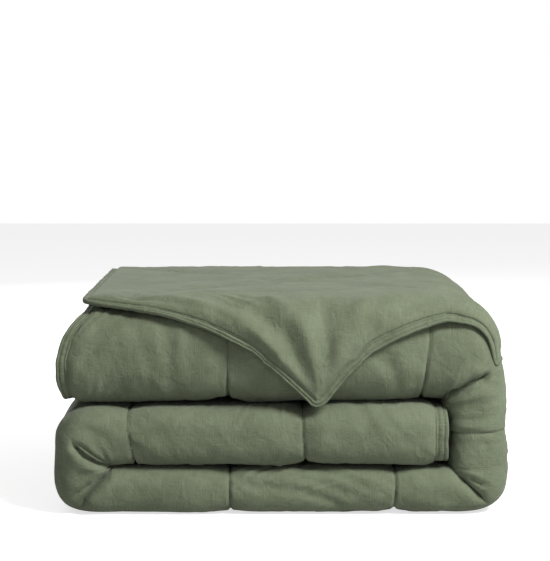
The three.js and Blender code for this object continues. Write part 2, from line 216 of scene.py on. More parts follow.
def section(stations, depth, flat_points=FLAT_POINTS, arc_points=ARC_POINTS):
    """(Y, distance outwards, normal in Y, normal outwards) of a skin at a depth, one row a station."""
    thick, front = stations[:, 5:6], stations[:, 6:7]
    half = thick / 2
    centre = front + half
    radius = half - depth
    angle = np.linspace(0, math.pi, arc_points)[None, :]
    sine, cosine = np.sin(angle), np.cos(angle)
    arc_y = centre - radius * np.abs(sine) ** (2 / ROUNDNESS)
    arc_u = half + radius * np.sign(cosine) * np.abs(cosine) ** (2 / ROUNDNESS)
    arc_ny = -np.abs(sine) ** (2 - 2 / ROUNDNESS) + 0 * arc_y
    arc_nu = np.sign(cosine) * np.abs(cosine) ** (2 - 2 / ROUNDNESS) + 0 * arc_y
    share = 1 - (1 - np.linspace(0, 1, flat_points, endpoint=False)) ** 1.7
    flat_y = BACK + (centre - BACK) * share[None, :]
    zero, one = 0 * flat_y, 0 * flat_y + 1
    y = np.hstack([flat_y, arc_y, flat_y[:, ::-1]])
    u = np.hstack([half + radius + zero, arc_u, half - radius + zero])
    ny = np.hstack([zero, arc_ny, zero])
    nu = np.hstack([one, arc_nu, -one])
    size = np.hypot(ny, nu)
    return y, u, ny / size, nu / size


def place_section(stations, y, u, ny, nu):
    """Points and normals in space of a section's (Y, outwards) values."""
    core, out = stations[:, 1:3], stations[:, 3:5]
    x = core[:, 0:1] + out[:, 0:1] * u
    z = core[:, 1:2] + out[:, 1:2] * u
    points = np.stack([x, y, z], 2)
    normals = np.stack([out[:, 0:1] * nu, ny, out[:, 1:2] * nu], 2)
    return points, normals


# %% Relief: noise, valleys and creases
def cloud(a, b, seed):
    """Smooth noise from -1 to 1 over two distances, the same on every run."""
    table = np.random.RandomState(seed).uniform(-1, 1, (97, 97))
    a, b = np.broadcast_arrays(a, b)
    ia, ib = np.floor(a).astype(int), np.floor(b).astype(int)
    fa, fb = a - ia, b - ib
    fa, fb = fa * fa * (3 - 2 * fa), fb * fb * (3 - 2 * fb)
    ia, ib = ia % 96, ib % 96
    low = table[ia, ib] * (1 - fa) + table[ia + 1, ib] * fa
    high = table[ia, ib + 1] * (1 - fa) + table[ia + 1, ib + 1] * fa
    return low * (1 - fb) + high * fb


def smooth(value):
    value = np.clip(value, 0, 1)
    return value * value * (3 - 2 * value)


def cusp(distance, width):
    """1 in the crease and 0 at its width, standing upright in the crease as two pillows pressed together do."""
    r = np.clip(np.abs(distance) / width, 0, 1)
    return 1 - np.sqrt(np.clip(1 - (1 - r) ** 2, 0, 1))


def along_line(px, pz, line):
    """Distance from a broken line, and the share of the way along it, of points in the front plane."""
    line = np.asarray(line, float)
    lengths = np.hypot(*np.diff(line, axis=0).T)
    total, start = lengths.sum(), 0.0
    best, share = np.full(px.shape, 1e9), np.zeros(px.shape)
    for (x0, z0), (x1, z1), length in zip(line[:-1], line[1:], lengths):
        t = np.clip(((px - x0) * (x1 - x0) + (pz - z0) * (z1 - z0)) / length ** 2, 0, 1)
        d = np.hypot(px - x0 - t * (x1 - x0), pz - z0 - t * (z1 - z0))
        closer = d < best
        best = np.where(closer, d, best)
        share = np.where(closer, (start + t * length) / total, share)
        start += length
    return best, share


def left_of_line(px, pz, line):
    """1 on the left of a nearly straight line, -1 on its right."""
    (x0, z0), (x1, z1) = line[0], line[-1]
    return np.sign((x1 - x0) * (pz - z0) - (z1 - z0) * (px - x0))


def crease(points, front_share, line, depth, width, fade_in=0.18, fade_out=0.35, lobe=0.0):
    """Depth of a pressed-in crease along a line on the front, shallower towards the line's ends.

    lobe lifts the cloth on the line's left (or, below 0, its right), so that it swells over the crease."""
    distance, share = along_line(points[..., 0], points[..., 2], line)
    if lobe:
        side = left_of_line(points[..., 0], points[..., 2], line) * np.sign(lobe)
        swell = np.exp(-((distance - 0.009) / 0.011) ** 2) * (side > 0)
        swell = swell * smooth(share / 0.3) * smooth((1 - share) / 0.3)
        valley = crease(points, front_share, line, depth, width, fade_in, fade_out)
        return valley - abs(lobe) * swell * front_share
    keep = np.ones_like(share)
    if fade_in:
        keep *= smooth(share / fade_in)
    if fade_out:
        keep *= smooth((1 - share) / fade_out)
    reach = width * (0.35 + 0.65 * keep)
    return depth * keep * cusp(distance, reach) * front_share


def seam_wander(points, length, k, slant):
    """How far seam number k strays along the strip: a slant down the front, and small irregular steps."""
    lean = slant * np.clip((points[..., 2] - np.mean(points[..., 2])) / 0.08, -0.6, 0.6)
    return lean + 0.0013 * cloud(length / 0.045, 0 * length + k, 11 + k)


def quilting(stations, points, length, seams, soft=0.0050, sharp=0.0052):
    """Relief beside the quilting seams that cross the strip."""
    s = stations[:, 0:1]
    relief = 0 * length
    for k, (place, strength, slant) in enumerate(seams):
        d = s - place - seam_wander(points, length, k, slant)
        relief -= strength * soft * np.exp(-(d / 0.021) ** 2)
        relief -= strength * sharp * cusp(d, 0.0062)
        fan = length + 0.7 * np.abs(d) * np.sign(cloud(length / 0.09, 0 * d + k, 51 + k))
        pucker = cloud(fan / 0.0115, d * 0 + 3.3 * k, 31 + k) + 0.7 * cloud(fan / 0.024, d / 0.03 + 7, 41 + k)
        relief += strength * 0.0021 * pucker * np.exp(-np.abs(d) / 0.020) * smooth(np.abs(d) / 0.004)
    return relief


def wrinkles(s, length, seed, amount=1.0):
    """Loose wrinkles, long around the roll and narrow along it, sharper at their ridges than their hollows."""
    lean = 0.45 * cloud(s / 0.17, length / 0.15, seed + 5)
    along = s + lean * length
    wide = cloud(along / 0.044, length / 0.13, seed)
    fine = cloud((s - 0.6 * lean * length) / 0.019, length / 0.060, seed + 1)
    hair = cloud((s + 0.4 * lean * length) / 0.0085, length / 0.030, seed + 7)
    patch = 0.30 + 0.70 * smooth(0.5 + 1.1 * cloud(s / 0.10, length / 0.08, seed + 2))
    other = 0.30 + 0.70 * smooth(0.5 + 1.2 * cloud(s / 0.07, length / 0.07, seed + 6))
    soft = cloud(s / 0.11, length / 0.11, seed + 3)
    ridged = 1 - 2 * np.abs(fine)
    large, small = 0.0024 * soft + 0.0023 * wide * patch, 0.0013 * ridged * patch * other
    return amount * (large + small + 0.00045 * hair * other)


def rounded_end(away, depth=0.009, reach=0.020):
    """How far a roll's skin draws in towards its hemmed end."""
    t = np.clip(1 - away / reach, 0, 1)
    return depth * (1 - np.sqrt(1 - 0.98 * t ** 2))


# %% [markdown]
# A skin becomes a mesh from a flat grid: one row of the grid for each station, one column for each point round
# the section. Its first and last columns meet and are welded, and its two ends are closed. The cloth
# coordinates, in metres along and across the strip, go into a UV map, which the weave reads.

# %% Bending a grid into a closed skin
def bend_grid(name, points, cloth, close_ends=True, closed=True, sharp_ends=True):
    """A mesh object from rows of points. cloth holds each point's two distances, for the UV map."""
    rows, columns = points.shape[:2]
    bm = bmesh.new()
    bmesh.ops.create_grid(bm, x_segments=rows - 1, y_segments=columns - 1, size=0.5)
    uv = bm.loops.layers.uv.new("cloth")
    for vert in bm.verts:
        i = round((vert.co.x + 0.5) * (rows - 1))
        j = round((vert.co.y + 0.5) * (columns - 1))
        vert.co = points[i, j]
        vert.index = i * columns + j
    flat = cloth.reshape(-1, 2)
    for face in bm.faces:
        face.smooth = True
        for loop in face.loops:
            loop[uv].uv = flat[loop.vert.index]
    if closed:
        first = [v for v in bm.verts if v.index % columns in (0, columns - 1)]
        bmesh.ops.remove_doubles(bm, verts=first, dist=1e-6)
    rim = [e for e in bm.edges if e.is_boundary]
    if close_ends and rim:
        for edge in rim:
            edge.smooth = not sharp_ends
        caps = bmesh.ops.holes_fill(bm, edges=rim, sides=0)["faces"]
        for cap in caps:
            for loop in cap.loops:
                loop[uv].uv = (loop.vert.co.x, loop.vert.co.z)
        bmesh.ops.triangulate(bm, faces=caps)
    bmesh.ops.recalc_face_normals(bm, faces=bm.faces)
    mesh = bpy.data.meshes.new(name)
    bm.to_mesh(mesh)
    bm.free()
    piece = bpy.data.objects.new(name, mesh)
    bpy.context.scene.collection.objects.link(piece)
    print(f"{name}: {len(mesh.vertices)} points")
    return piece


def build_skin(name, path, distances, depth, ply, relief, warp=None, nose=0.004):
    """A padded U-shaped ply: a skin at a depth and one a ply further in, joined round its two back edges."""
    stations = sample(path, distances)
    y, u, ny, nu = section(stations, depth)
    outer, outer_n = place_section(stations, y, u, ny, nu)
    length = np.concatenate(
        [np.zeros((len(y), 1)), np.cumsum(np.hypot(np.diff(y, axis=1), np.diff(u, axis=1)), axis=1)], 1
    )
    front_share = smooth((stations[:, 6:7] + 1.25 * stations[:, 5:6] - y) / (0.5 * stations[:, 5:6]))
    lift = relief(stations, length, outer, front_share, u)
    outer = outer + outer_n * lift[..., None]
    if warp:
        outer = warp(outer, stations, u)
    pick = np.unique(np.round(np.linspace(0, y.shape[1] - 1, 44)).astype(int))
    far = ply * stations[:, 5:6]
    scale = (stations[:, 5:6] / 2 - depth - far) / (stations[:, 5:6] / 2 - depth)
    centre_y, centre_u = stations[:, 6:7] + stations[:, 5:6] / 2, stations[:, 5:6] / 2
    inner_y = np.where(y > centre_y, y, centre_y + (y - centre_y) * scale)[:, pick]
    inner_u = (centre_u + (u - centre_u) * scale)[:, pick]
    inner, inner_n = place_section(stations, inner_y, inner_u, ny[:, pick], nu[:, pick])
    inner = inner + inner_n * np.minimum(lift[:, pick], 0)[..., None]
    if warp:
        inner = warp(inner, stations, inner_u)
    inner = inner[:, ::-1]
    loops = np.concatenate([outer, round_edge(outer[:, -1], inner[:, 0], nose), inner,
                            round_edge(inner[:, -1], outer[:, 0], nose), outer[:, :1]], 1)
    across = np.cumsum(np.linalg.norm(np.diff(loops, axis=1), axis=2), axis=1)
    across = np.concatenate([np.zeros((len(loops), 1)), across], 1)
    cloth = np.stack([stations[:, 0:1] + 0 * across, across], 2)
    piece = bend_grid(name, loops, cloth)
    return piece, {"points": outer, "normals": outer_n, "stations": stations, "length": length, "inner": inner}


def round_edge(start, end, nose):
    """Points of a rounded edge that stands out to the back between two edge lines."""
    turn = np.linspace(0, math.pi, 7)[1:-1][None, :, None]
    middle, half = (start + end)[:, None] / 2, (start - end)[:, None] / 2
    back = np.array([0, nose, 0])[None, None]
    return middle + half * np.cos(turn) + back * np.sin(turn)


# %% [markdown]
# ## The lower folds
# The strip starts at its hemmed end in the middle run, turns down round the left end and comes back as the
# bottom run. Two creases spread out from the left turn's pivot, where the cloth is folded tightest, and a third
# runs along the mitre at the right, where the bottom run meets the next turn.

# %% Where the seams and creases run
LEFT_PIVOT = (-TURN_X, LOW_PIVOT)
RIGHT_PIVOT = (TURN_X, LOW_PIVOT)
MIDDLE_SEAM_X = (-0.202, 0.033)
BOTTOM_SEAM_X = (-0.0706, 0.157)
TOP_SEAM_X = (-0.073, 0.198)
UPRIGHT_SEAM_Z = 0.115


def on_run(path, x, side):
    """Distance along a path at X, on the run whose outer skin is above (side 1) or below (side -1)."""
    near = np.where(side * path[:, 4] > 0.99, np.abs(path[:, 1] - x), 9)
    return path[int(np.argmin(near)), 0]


def on_turn(path, pivot, towards):
    """Distance along a path where the strip's section points from a pivot towards a place on the front."""
    angle = math.degrees(math.atan2(towards[1] - pivot[1], towards[0] - pivot[0]))
    close = np.hypot(path[:, 1] - pivot[0], path[:, 2] - pivot[1]) < 3 * CORE
    here = np.degrees(np.arctan2(path[:, 4], path[:, 3]))
    off = np.where(close, np.abs((here - angle + 180) % 360 - 180), 999)
    return path[int(np.argmin(off)), 0]


LEFT_TIP = (-0.2885, 0.107)
LEFT_MITRE_TIP = (-0.2846, 0.008)
MITRE_TIP = (TURN_X + 0.054, LOW_PIVOT + 0.054 * math.tan(math.radians(MITRE)))
HIGH_TURN_PIVOT = (HIGH_TURN_X, HIGH_PIVOT)
left_upper_crease = [LEFT_PIVOT, (-0.2495, 0.0735), (-0.270, 0.0845), (-0.2836, 0.097), LEFT_TIP]
left_lower_crease = [LEFT_PIVOT, (-0.2497, 0.0490), LEFT_MITRE_TIP]
left_short_crease = [(-0.2600, 0.0496), (-0.274, 0.038), (-0.2935, 0.0244)]
right_mitre = [RIGHT_PIVOT, MITRE_TIP]
right_short_crease = [(0.2561, 0.056), (0.2741, 0.0454), (0.2963, 0.0356)]
high_crease = [(0.2247, 0.163), (0.2452, 0.175), (0.2656, 0.1870), (0.2793, 0.191), (0.2950, 0.2010)]

# %% Lower folds
PLY_SHARE = 0.235  # of the strip's thickness: the outer ply
STATION_STEP = 0.0036  # between the skin's cross-sections, away from its seams
lower_seams = [(on_run(lower_path, x, 1), 1.0, slant) for x, slant in zip(MIDDLE_SEAM_X, (0.015, 0.006))]
lower_seams += [(on_run(lower_path, x, -1), 0.9, 0.001) for x in BOTTOM_SEAM_X]


def turn_ripples(stations, length, front_share, u, seed):
    """Ripples that fan out from a turn's pivot, where the inner side has too much cloth."""
    turning = 1 - np.abs(stations[:, 4:5]) ** 4
    near_pivot = np.exp(-(u / stations[:, 5:6]) ** 2 / 0.9)
    s = stations[:, 0:1]
    ripple = cloud(s / 0.0135, length / 0.09, seed) + 0.5 * cloud(s / 0.006, length / 0.05, seed + 1)
    return 0.0033 * ripple * turning * near_pivot * front_share


def lower_relief(stations, length, points, front_share, u):
    to_end = (lower_path[-1, 0] - stations[:, 0:1]) / 0.05
    relief = quilting(stations, points, length, lower_seams)
    relief += wrinkles(stations[:, 0:1], length, 100) * smooth(to_end)
    relief += turn_ripples(stations, length, front_share, u, 130) * smooth(to_end)
    relief -= crease(points, front_share, left_upper_crease, 0.017, 0.015, 0.22, 0.22, lobe=0.006)
    relief -= crease(points, front_share, left_lower_crease, 0.017, 0.015, 0.22, 0.2, lobe=0.003)
    relief -= crease(points, front_share, left_short_crease, 0.009, 0.008, 0.2, 0.4)
    relief -= crease(points, front_share, right_mitre, 0.017, 0.017, 0.30, 0.25)
    relief -= rounded_end(stations[:, 0:1])
    return relief


fine_places = [place for place, _, _ in lower_seams]
fine_places += [on_turn(lower_path, LEFT_PIVOT, tip) for tip in (LEFT_TIP, LEFT_MITRE_TIP)]
fine_places += [lower_path[-1, 0]]
lower_distances = spread(lower_path[-1, 0], STATION_STEP, fine_places + [0.0])
lower_cover, lower_skin = build_skin(
    "lower_folds_cover", lower_path, lower_distances, 0, PLY_SHARE, lower_relief
)

# %% [markdown]
# ## The top fold
# From the mitre the strip rises round the right end and comes back over everything as the top run, whose hemmed
# left end leans inwards at the top. It rolls open about the right-hand skin.

# %% Top fold
upright_seam = float(np.interp(UPRIGHT_SEAM_Z, *upper_path[upper_path[:, 3] > 0.999][:, (2, 0)].T))
upper_seams = [(on_run(upper_path, x, 1), 1.0, slant) for x, slant in zip(TOP_SEAM_X, (0.0, -0.010))]
upper_seams += [(upright_seam, 0.55, 0.0)]
END_LEAN = ([0, 0.25, 0.45, 0.7, 0.85, 1], [0.004, -0.002, -0.003, 0.006, 0.016, 0.032])


def upper_relief(stations, length, points, front_share, u):
    relief = quilting(stations, points, length, upper_seams)
    relief += wrinkles(stations[:, 0:1], length, 200) * smooth(stations[:, 0:1] / 0.05)
    relief += turn_ripples(stations, length, front_share, u, 230) * smooth(stations[:, 0:1] / 0.05)
    relief -= crease(points, front_share, high_crease, 0.018, 0.016, 0.15, 0.22, lobe=0.006)
    relief -= crease(points, front_share, right_mitre, 0.017, 0.017, 0.30, 0.25)
    relief -= crease(points, front_share, right_short_crease, 0.010, 0.009, 0.15, 0.5)
    relief -= rounded_end(upper_path[-1, 0] - stations[:, 0:1])
    return relief


def lean_left_end(points, stations, u):
    """The top run's left end leans in towards the right as it rises."""
    share = np.interp(u / stations[:, 5:6], *END_LEAN)
    near = smooth((-0.12 - stations[:, 1:2]) / 0.184) * (stations[:, 4:5] > 0.99)
    moved = points.copy()
    moved[..., 0] += share * near
    return moved


fine_places = [place for place, _, _ in upper_seams] + [0.0, upper_path[-1, 0]]
fine_places += [on_turn(upper_path, HIGH_TURN_PIVOT, high_crease[-1])]
upper_distances = spread(upper_path[-1, 0], STATION_STEP, fine_places)
upper_cover, upper_skin = build_skin(
    "top_fold_cover", upper_path, upper_distances, 0, PLY_SHARE, upper_relief, lean_left_end
)

# %% [markdown]
# Inside each cover lies a second folded ply. It shows only at the back and at the hemmed ends, so it is
# plainer.

# %% Inner plies
def plain_relief(stations, length, points, front_share, u):
    return 0.6 * wrinkles(stations[:, 0:1], length, 300) - 0.0008


def inner_ply(name, path, warp=None):
    return build_skin(name, path, spread(path[-1, 0], 0.014), 0, 0.2, plain_relief, warp)


def deeper(path, share):
    """The same path for a ply that starts a share of the thickness further in."""
    inside = path.copy()
    inside[:, 1:3] += inside[:, 3:5] * inside[:, 5:6] * share
    inside[:, 6] += inside[:, 5] * share
    inside[:, 5] *= 1 - 2 * share
    return inside


lower_inner, lower_inner_skin = inner_ply("lower_folds_inner_ply", deeper(lower_path, 0.255))
upper_inner, upper_inner_skin = inner_ply("top_fold_inner_ply", deeper(upper_path, 0.255), lean_left_end)

# %% [markdown]
# ## The ply over the top
# One ply is drawn over the top run and the right-hand turn. Its free corner hangs over the front. It is a thin
# quilt with two faces, pinched to its hem all round. A place on it is an X, a distance forward of the crest and
# down the front, and a height off the ply's middle.

# %% The ply's outline
SHEET_THICK = sheet_high.z - top_high.z - 0.002
SHEET_LIFT = 0.0022
SHEET_EDGE = 0.0022  # half its thickness where it meets a hem
HEM_WIDTH, FLAT_HEM_WIDTH = 0.0105, 0.0140  # the piped hem left of the corner, the flat one right of it
crest_y = top_low.y + TOP_THICK / 2
crest_z = top_low.z + TOP_THICK / 2
SHEET_RADIUS = TOP_THICK / 2 + SHEET_LIFT + SHEET_THICK / 2
SKIN_RADIUS = TOP_THICK / 2 + SHEET_LIFT + SHEET_THICK
QUARTER = SHEET_RADIUS * math.pi / 2
SHEET_LEFT = -0.268
HEM_SEAT = 0.0012  # how far a hem reaches back over the ply it is sewn to
# The finished edge, hem included, as (X, Z) where it lies on the front.
FREE_EDGE = [
    (-0.290, 0.3000), (-0.257, 0.2962), (-0.222, 0.2917), (-0.180, 0.2858), (-0.145, 0.2771), (-0.111, 0.2656),
    (-0.0765, 0.2480), (-0.0425, 0.2262), (-0.015, 0.2055), (0.012, 0.1838), (0.032, 0.1680), (0.0515, 0.1500),
    (0.072, 0.1735), (0.094, 0.1970), (0.1275, 0.2265), (0.162, 0.2490), (0.203, 0.2672), (0.237, 0.2765),
]


def ahead_at(z):
    """Distance forward of the crest at a height on the front."""
    share = np.clip((np.asarray(z) - crest_z) / SKIN_RADIUS, 0, 1)
    return SHEET_RADIUS * np.arccos(share ** (ROUNDNESS / 2)) + np.maximum(crest_z - np.asarray(z), 0)


def on_front(x, ahead, height):
    """A point over the top run at a distance forward of the crest and a height off the ply's middle."""
    radius = SHEET_RADIUS + height
    angle = np.clip(ahead / SHEET_RADIUS, 0, math.pi / 2)
    drop = np.maximum(ahead - QUARTER, 0)
    back = np.maximum(-ahead, 0)
    y = crest_y - radius * np.sin(angle) ** (2 / ROUNDNESS) + back
    z = crest_z + radius * np.cos(angle) ** (2 / ROUNDNESS) - drop
    return np.stack(np.broadcast_arrays(x, y, z), -1)


def eased(line, spacing, rounds=3):
    """A broken line resampled evenly, with its corners eased."""
    line = np.asarray(line, float)
    steps = np.concatenate([[0], np.cumsum(np.linalg.norm(np.diff(line, axis=0), axis=1))])
    at = np.linspace(0, steps[-1], max(4, int(steps[-1] / spacing)))
    even = np.stack([np.interp(at, steps, line[:, k]) for k in range(line.shape[1])], 1)
    for _ in range(rounds):
        even[1:-1] = (even[:-2] + 2 * even[1:-1] + even[2:]) / 4
    return even


def outwards(line):
    """Unit normals on the right of a path of (X, forward), as seen from the front."""
    along = np.gradient(line, axis=0)
    side = np.stack([-along[:, 1], along[:, 0]], 1)
    return side / np.linalg.norm(side, axis=1, keepdims=True)


tip = int(np.argmin([z for _, z in FREE_EDGE]))
finished = np.array([(x, float(ahead_at(z))) for x, z in FREE_EDGE])
left_side, right_side = eased(finished[:tip + 1], 0.004), eased(finished[tip:], 0.004)
inner_left = left_side - outwards(left_side) * HEM_WIDTH
inner_right = right_side - outwards(right_side) * FLAT_HEM_WIDTH
print("free edge", len(left_side) + len(right_side), "points")

# %% Where the cloth of the ply ends, and its folds
edge_x = np.linspace(SHEET_LEFT, HIGH_TURN_X, 400)
cloth_edge = np.minimum(
    np.interp(edge_x, inner_left[:, 0], inner_left[:, 1], right=9),
    np.interp(edge_x, inner_right[:, 0], inner_right[:, 1], left=9),
)
FLAP_FOLDS = [  # soft folds in the ply and its corner: a line of (X, forward), height and width
    ([(-0.185, 0.020), (-0.110, 0.045), (-0.045, 0.085), (0.010, 0.130), (0.044, 0.176)], 0.0042, 0.013),
    ([(-0.110, 0.010), (-0.040, 0.050), (0.012, 0.100), (0.046, 0.168)], -0.0042, 0.014),
    ([(-0.035, 0.000), (0.010, 0.050), (0.040, 0.105), (0.052, 0.165)], 0.0034, 0.013),
    ([(0.055, 0.015), (0.064, 0.070), (0.058, 0.155)], -0.0030, 0.014),
    ([(0.130, 0.000), (0.105, 0.060), (0.072, 0.130), (0.058, 0.170)], 0.0030, 0.016),
    ([(0.235, 0.010), (0.180, 0.045), (0.125, 0.080), (0.075, 0.135)], -0.0026, 0.012),
    ([(-0.245, 0.012), (-0.170, 0.030), (-0.090, 0.058), (-0.030, 0.098)], -0.0030, 0.008),
]
SHEET_SEAMS = [[(-0.205, 0.004), (0.300, -0.442)], [(0.290, -0.010), (-0.230, -0.395)]]


FOLD_GAIN = 1.35  # on the heights above


def sheet_relief(x, ahead):
    relief = wrinkles(x, ahead + 0.4, 400, 0.8)
    for line, height, width in FLAP_FOLDS:
        distance, share = along_line(x, ahead, eased(line, 0.012))
        ridge = height * np.exp(-(distance / width) ** 2)
        relief = relief + ridge * smooth(share / 0.25) * smooth((1.02 - share) / 0.2) * FOLD_GAIN
    for k, line in enumerate(SHEET_SEAMS):
        distance, share = along_line(x, ahead, line)
        relief = relief - 0.0032 * np.exp(-(distance / 0.020) ** 2) - 0.0030 * cusp(distance, 0.006)
        relief += 0.0011 * cloud(share / 0.018, 0 * share + k, 71) * np.exp(-distance / 0.016)
    return relief


def edge_distance(x, ahead, lines):
    nearest = np.full(x.shape, 9.0)
    for line in lines:
        nearest = np.minimum(nearest, along_line(x, ahead, line)[0])
    return nearest


# %% The ply over the top, with its corner
FLAT_ROWS, HANG_ROWS = 60, 72
tip_x = edge_x[int(np.argmax(cloth_edge))]
xs = SHEET_LEFT + spread(HIGH_TURN_X - SHEET_LEFT, 0.0034, [tip_x - SHEET_LEFT])
reach = np.interp(xs, edge_x, cloth_edge)
flat = -(BACK - crest_y) * (1 - np.linspace(0, 1, FLAT_ROWS, endpoint=False)) ** 1.15
hang = np.linspace(0, 1, HANG_ROWS)
ahead = np.concatenate([np.broadcast_to(flat, (len(xs), FLAT_ROWS)), reach[:, None] * hang[None]], 1)
across = np.broadcast_to(xs[:, None], ahead.shape)
front_line = np.stack([edge_x, cloth_edge], 1)
borders = [front_line[::3], [(SHEET_LEFT, flat[0]), (SHEET_LEFT, cloth_edge[0])],
           [(SHEET_LEFT, flat[0]), (HIGH_TURN_X, flat[0])]]
inset = np.clip(edge_distance(across, ahead, borders) / 0.017, 0, 1)
plump = SHEET_EDGE + (SHEET_THICK / 2 - SHEET_EDGE) * np.sqrt(1 - (1 - inset) ** 2)
sway = sheet_relief(across, ahead) * smooth(inset * 1.2)
face = on_front(across, ahead, plump + sway)
lining = on_front(across, ahead, -plump)[:, ::-1]
loops = np.concatenate([face, lining, face[:, :1]], 1)
run = np.cumsum(np.linalg.norm(np.diff(loops, axis=1), axis=2), axis=1)
run = np.concatenate([np.zeros((len(loops), 1)), run], 1)
top_ply = bend_grid("top_ply", loops, np.stack([xs[:, None] + 0 * run, run], 2))

# %% [markdown]
# Past the end of the top run the ply goes on over the shoulder of the turn, thinner and thinner, to its hem. It
# is a piece of its own, and the two meet edge to edge.

# %% Shoulder ply
SHOULDER_END = 37  # degrees above level
SHOULDER_EDGE = ([90, 78, 66, 54, 37], [51, 43, 38, 36, 38])  # the front edge, in degrees down the front
turn_angles = np.arange(90, SHOULDER_END - 0.1, -1.5)
shoulder = sample(upper_path, [
    on_turn(upper_path, HIGH_TURN_PIVOT, (HIGH_TURN_X + math.cos(a), HIGH_PIVOT + math.sin(a)))
    for a in np.radians(turn_angles)
])
# Where the cloth of the ply ends at the run's end, so that the two pieces' edges agree.
run_edge = math.degrees(float(np.interp(HIGH_TURN_X, edge_x, cloth_edge)) / SHEET_RADIUS)


def on_shoulder(stations, share, height):
    """Points over the turn: share is -1 at the back, 0 at the crest and 1 at the front edge."""
    around = np.degrees(np.arctan2(stations[:, 4], stations[:, 3]))[:, None]
    half = stations[:, 5:6] / 2
    centre = stations[:, 6:7] + half
    radius = half + height
    last = np.radians(np.interp(-around, -np.array(SHOULDER_EDGE[0]), [run_edge] + SHOULDER_EDGE[1][1:]))
    angle = np.clip(share, 0, 1) * last
    y = centre - radius * np.sin(angle) ** (2 / ROUNDNESS) + np.clip(-share, 0, 1) * (BACK - centre)
    u = half + radius * np.cos(angle) ** (2 / ROUNDNESS)
    return place_section(stations, y, u, 0 * y, 0 * y + 1)[0]


shares = np.concatenate([flat / (BACK - crest_y), np.linspace(0, 1, 36)])[None]
drop_in = np.interp(turn_angles, [SHOULDER_END, 62, 90], [-0.45, 0.45, 1.0])[:, None]
thin = SHEET_THICK / 2 * np.interp(turn_angles, [SHOULDER_END, 50, 90], [0.3, 0.75, 1.0])[:, None]
rim = np.minimum((1 - shares) * 3.6, (turn_angles[:, None] - SHOULDER_END) / 9 + 0.05)
rim = np.minimum(np.clip(rim, 0, 1), np.clip((shares + 1.0) * 26, 0, 1))
plump = SHEET_EDGE + np.maximum(thin - SHEET_EDGE, 0) * np.sqrt(1 - (1 - rim) ** 2)
past = HIGH_TURN_X + (shoulder[:, 0:1] - shoulder[0, 0])
pseudo_ahead = np.where(shares < 0, shares * (BACK - crest_y), shares * 0.075)
sway = sheet_relief(past + 0 * shares, pseudo_ahead + 0 * past) * smooth(rim * 1.2)
middle_height = SHEET_LIFT + SHEET_THICK / 2 * drop_in
face = on_shoulder(shoulder, shares, middle_height + plump + sway)
lining = on_shoulder(shoulder, shares, middle_height - plump)[:, ::-1]
loops = np.concatenate([face, lining, face[:, :1]], 1)
run = np.cumsum(np.linalg.norm(np.diff(loops, axis=1), axis=2), axis=1)
run = np.concatenate([np.zeros((len(loops), 1)), run], 1)
shoulder_ply = bend_grid("top_ply_shoulder", loops, np.stack([past + 0 * run, run], 2))

# %% [markdown]
# ## Hems
# Each hem is a doubled band sewn flat, with a rolled outer edge. Stitching pulls the band thin, so it has a
# ridge on each side of the stitch line, and small puckers along it. One band section is swept along every edge.

# %% A hem along any edge
HEM_SECTION = [  # (share of the width, share of half the thickness)
    (0.00, 0.55), (0.09, 0.86), (0.19, 0.80), (0.25, 0.34), (0.31, 0.80), (0.48, 0.94),
    (0.64, 0.88), (0.70, 0.38), (0.76, 0.90), (0.88, 1.00), (0.96, 0.80), (1.00, 0.30),
]


def unit(vectors):
    return vectors / np.maximum(np.linalg.norm(vectors, axis=-1, keepdims=True), 1e-9)


def hem(name, edge, outward, normal, width=HEM_WIDTH, thick=0.0050, seed=0, wave=0.0, waver=0.07):
    """A band along an edge line. wave is its ripple out of its plane, waver how much its width changes."""
    step = np.linalg.norm(np.diff(edge, axis=0), axis=1)
    at = np.concatenate([[0], np.cumsum(step)])[:, None]
    outward, normal = unit(outward), unit(normal)
    uneven = waver * cloud(at / 0.034, 0 * at, seed)
    wide = width * (1 + uneven + 0.4 * waver * cloud(at / 0.011, 0 * at, seed + 1))
    ripple = wave * (cloud(at / 0.040, 0 * at, seed + 2) + 0.4 * cloud(at / 0.016, 0 * at, seed + 3))
    upper = np.array(HEM_SECTION)
    a = np.concatenate([upper[:, 0], upper[::-1, 0]])[None]
    b = np.concatenate([upper[:, 1], -upper[::-1, 1]])[None]
    pucker = 1 + 0.22 * cloud(at / 0.0075, a * 3 + np.sign(b), seed + 4)
    points = (edge[:, None] + outward[:, None] * (a * wide)[..., None]
              + normal[:, None] * (b * thick / 2 * pucker + ripple * a ** 1.5)[..., None])
    points = np.concatenate([points, points[:, :1]], 1)
    around = np.cumsum(np.linalg.norm(np.diff(points, axis=1), axis=2), axis=1)
    around = np.concatenate([np.zeros((len(points), 1)), around], 1)
    piece = bend_grid(name, points, np.stack([at + 0 * around, around], 2))
    rows = [(points[:, k], normal) for k in (3, 7)]
    return piece, rows


# %% Hems of the ply over the top
def hem_on_front(name, line, seed, **sizes):
    """A hem beside a line of (X, forward) on the ply."""
    side = outwards(line)
    x, ahead = line[:, 0], line[:, 1]
    edge = on_front(x, ahead, 0)
    beyond = on_front(x + side[:, 0] * 0.004, ahead + side[:, 1] * 0.004, 0)
    outward = unit(beyond - edge)
    along = unit(np.gradient(edge, axis=0))
    normal = unit(np.cross(along, outward))
    if normal[0] @ (on_front(x, ahead, 0.001) - edge)[0] < 0:
        normal = -normal
    return hem(name, edge - outward * HEM_SEAT, outward, normal, seed=seed, **sizes)


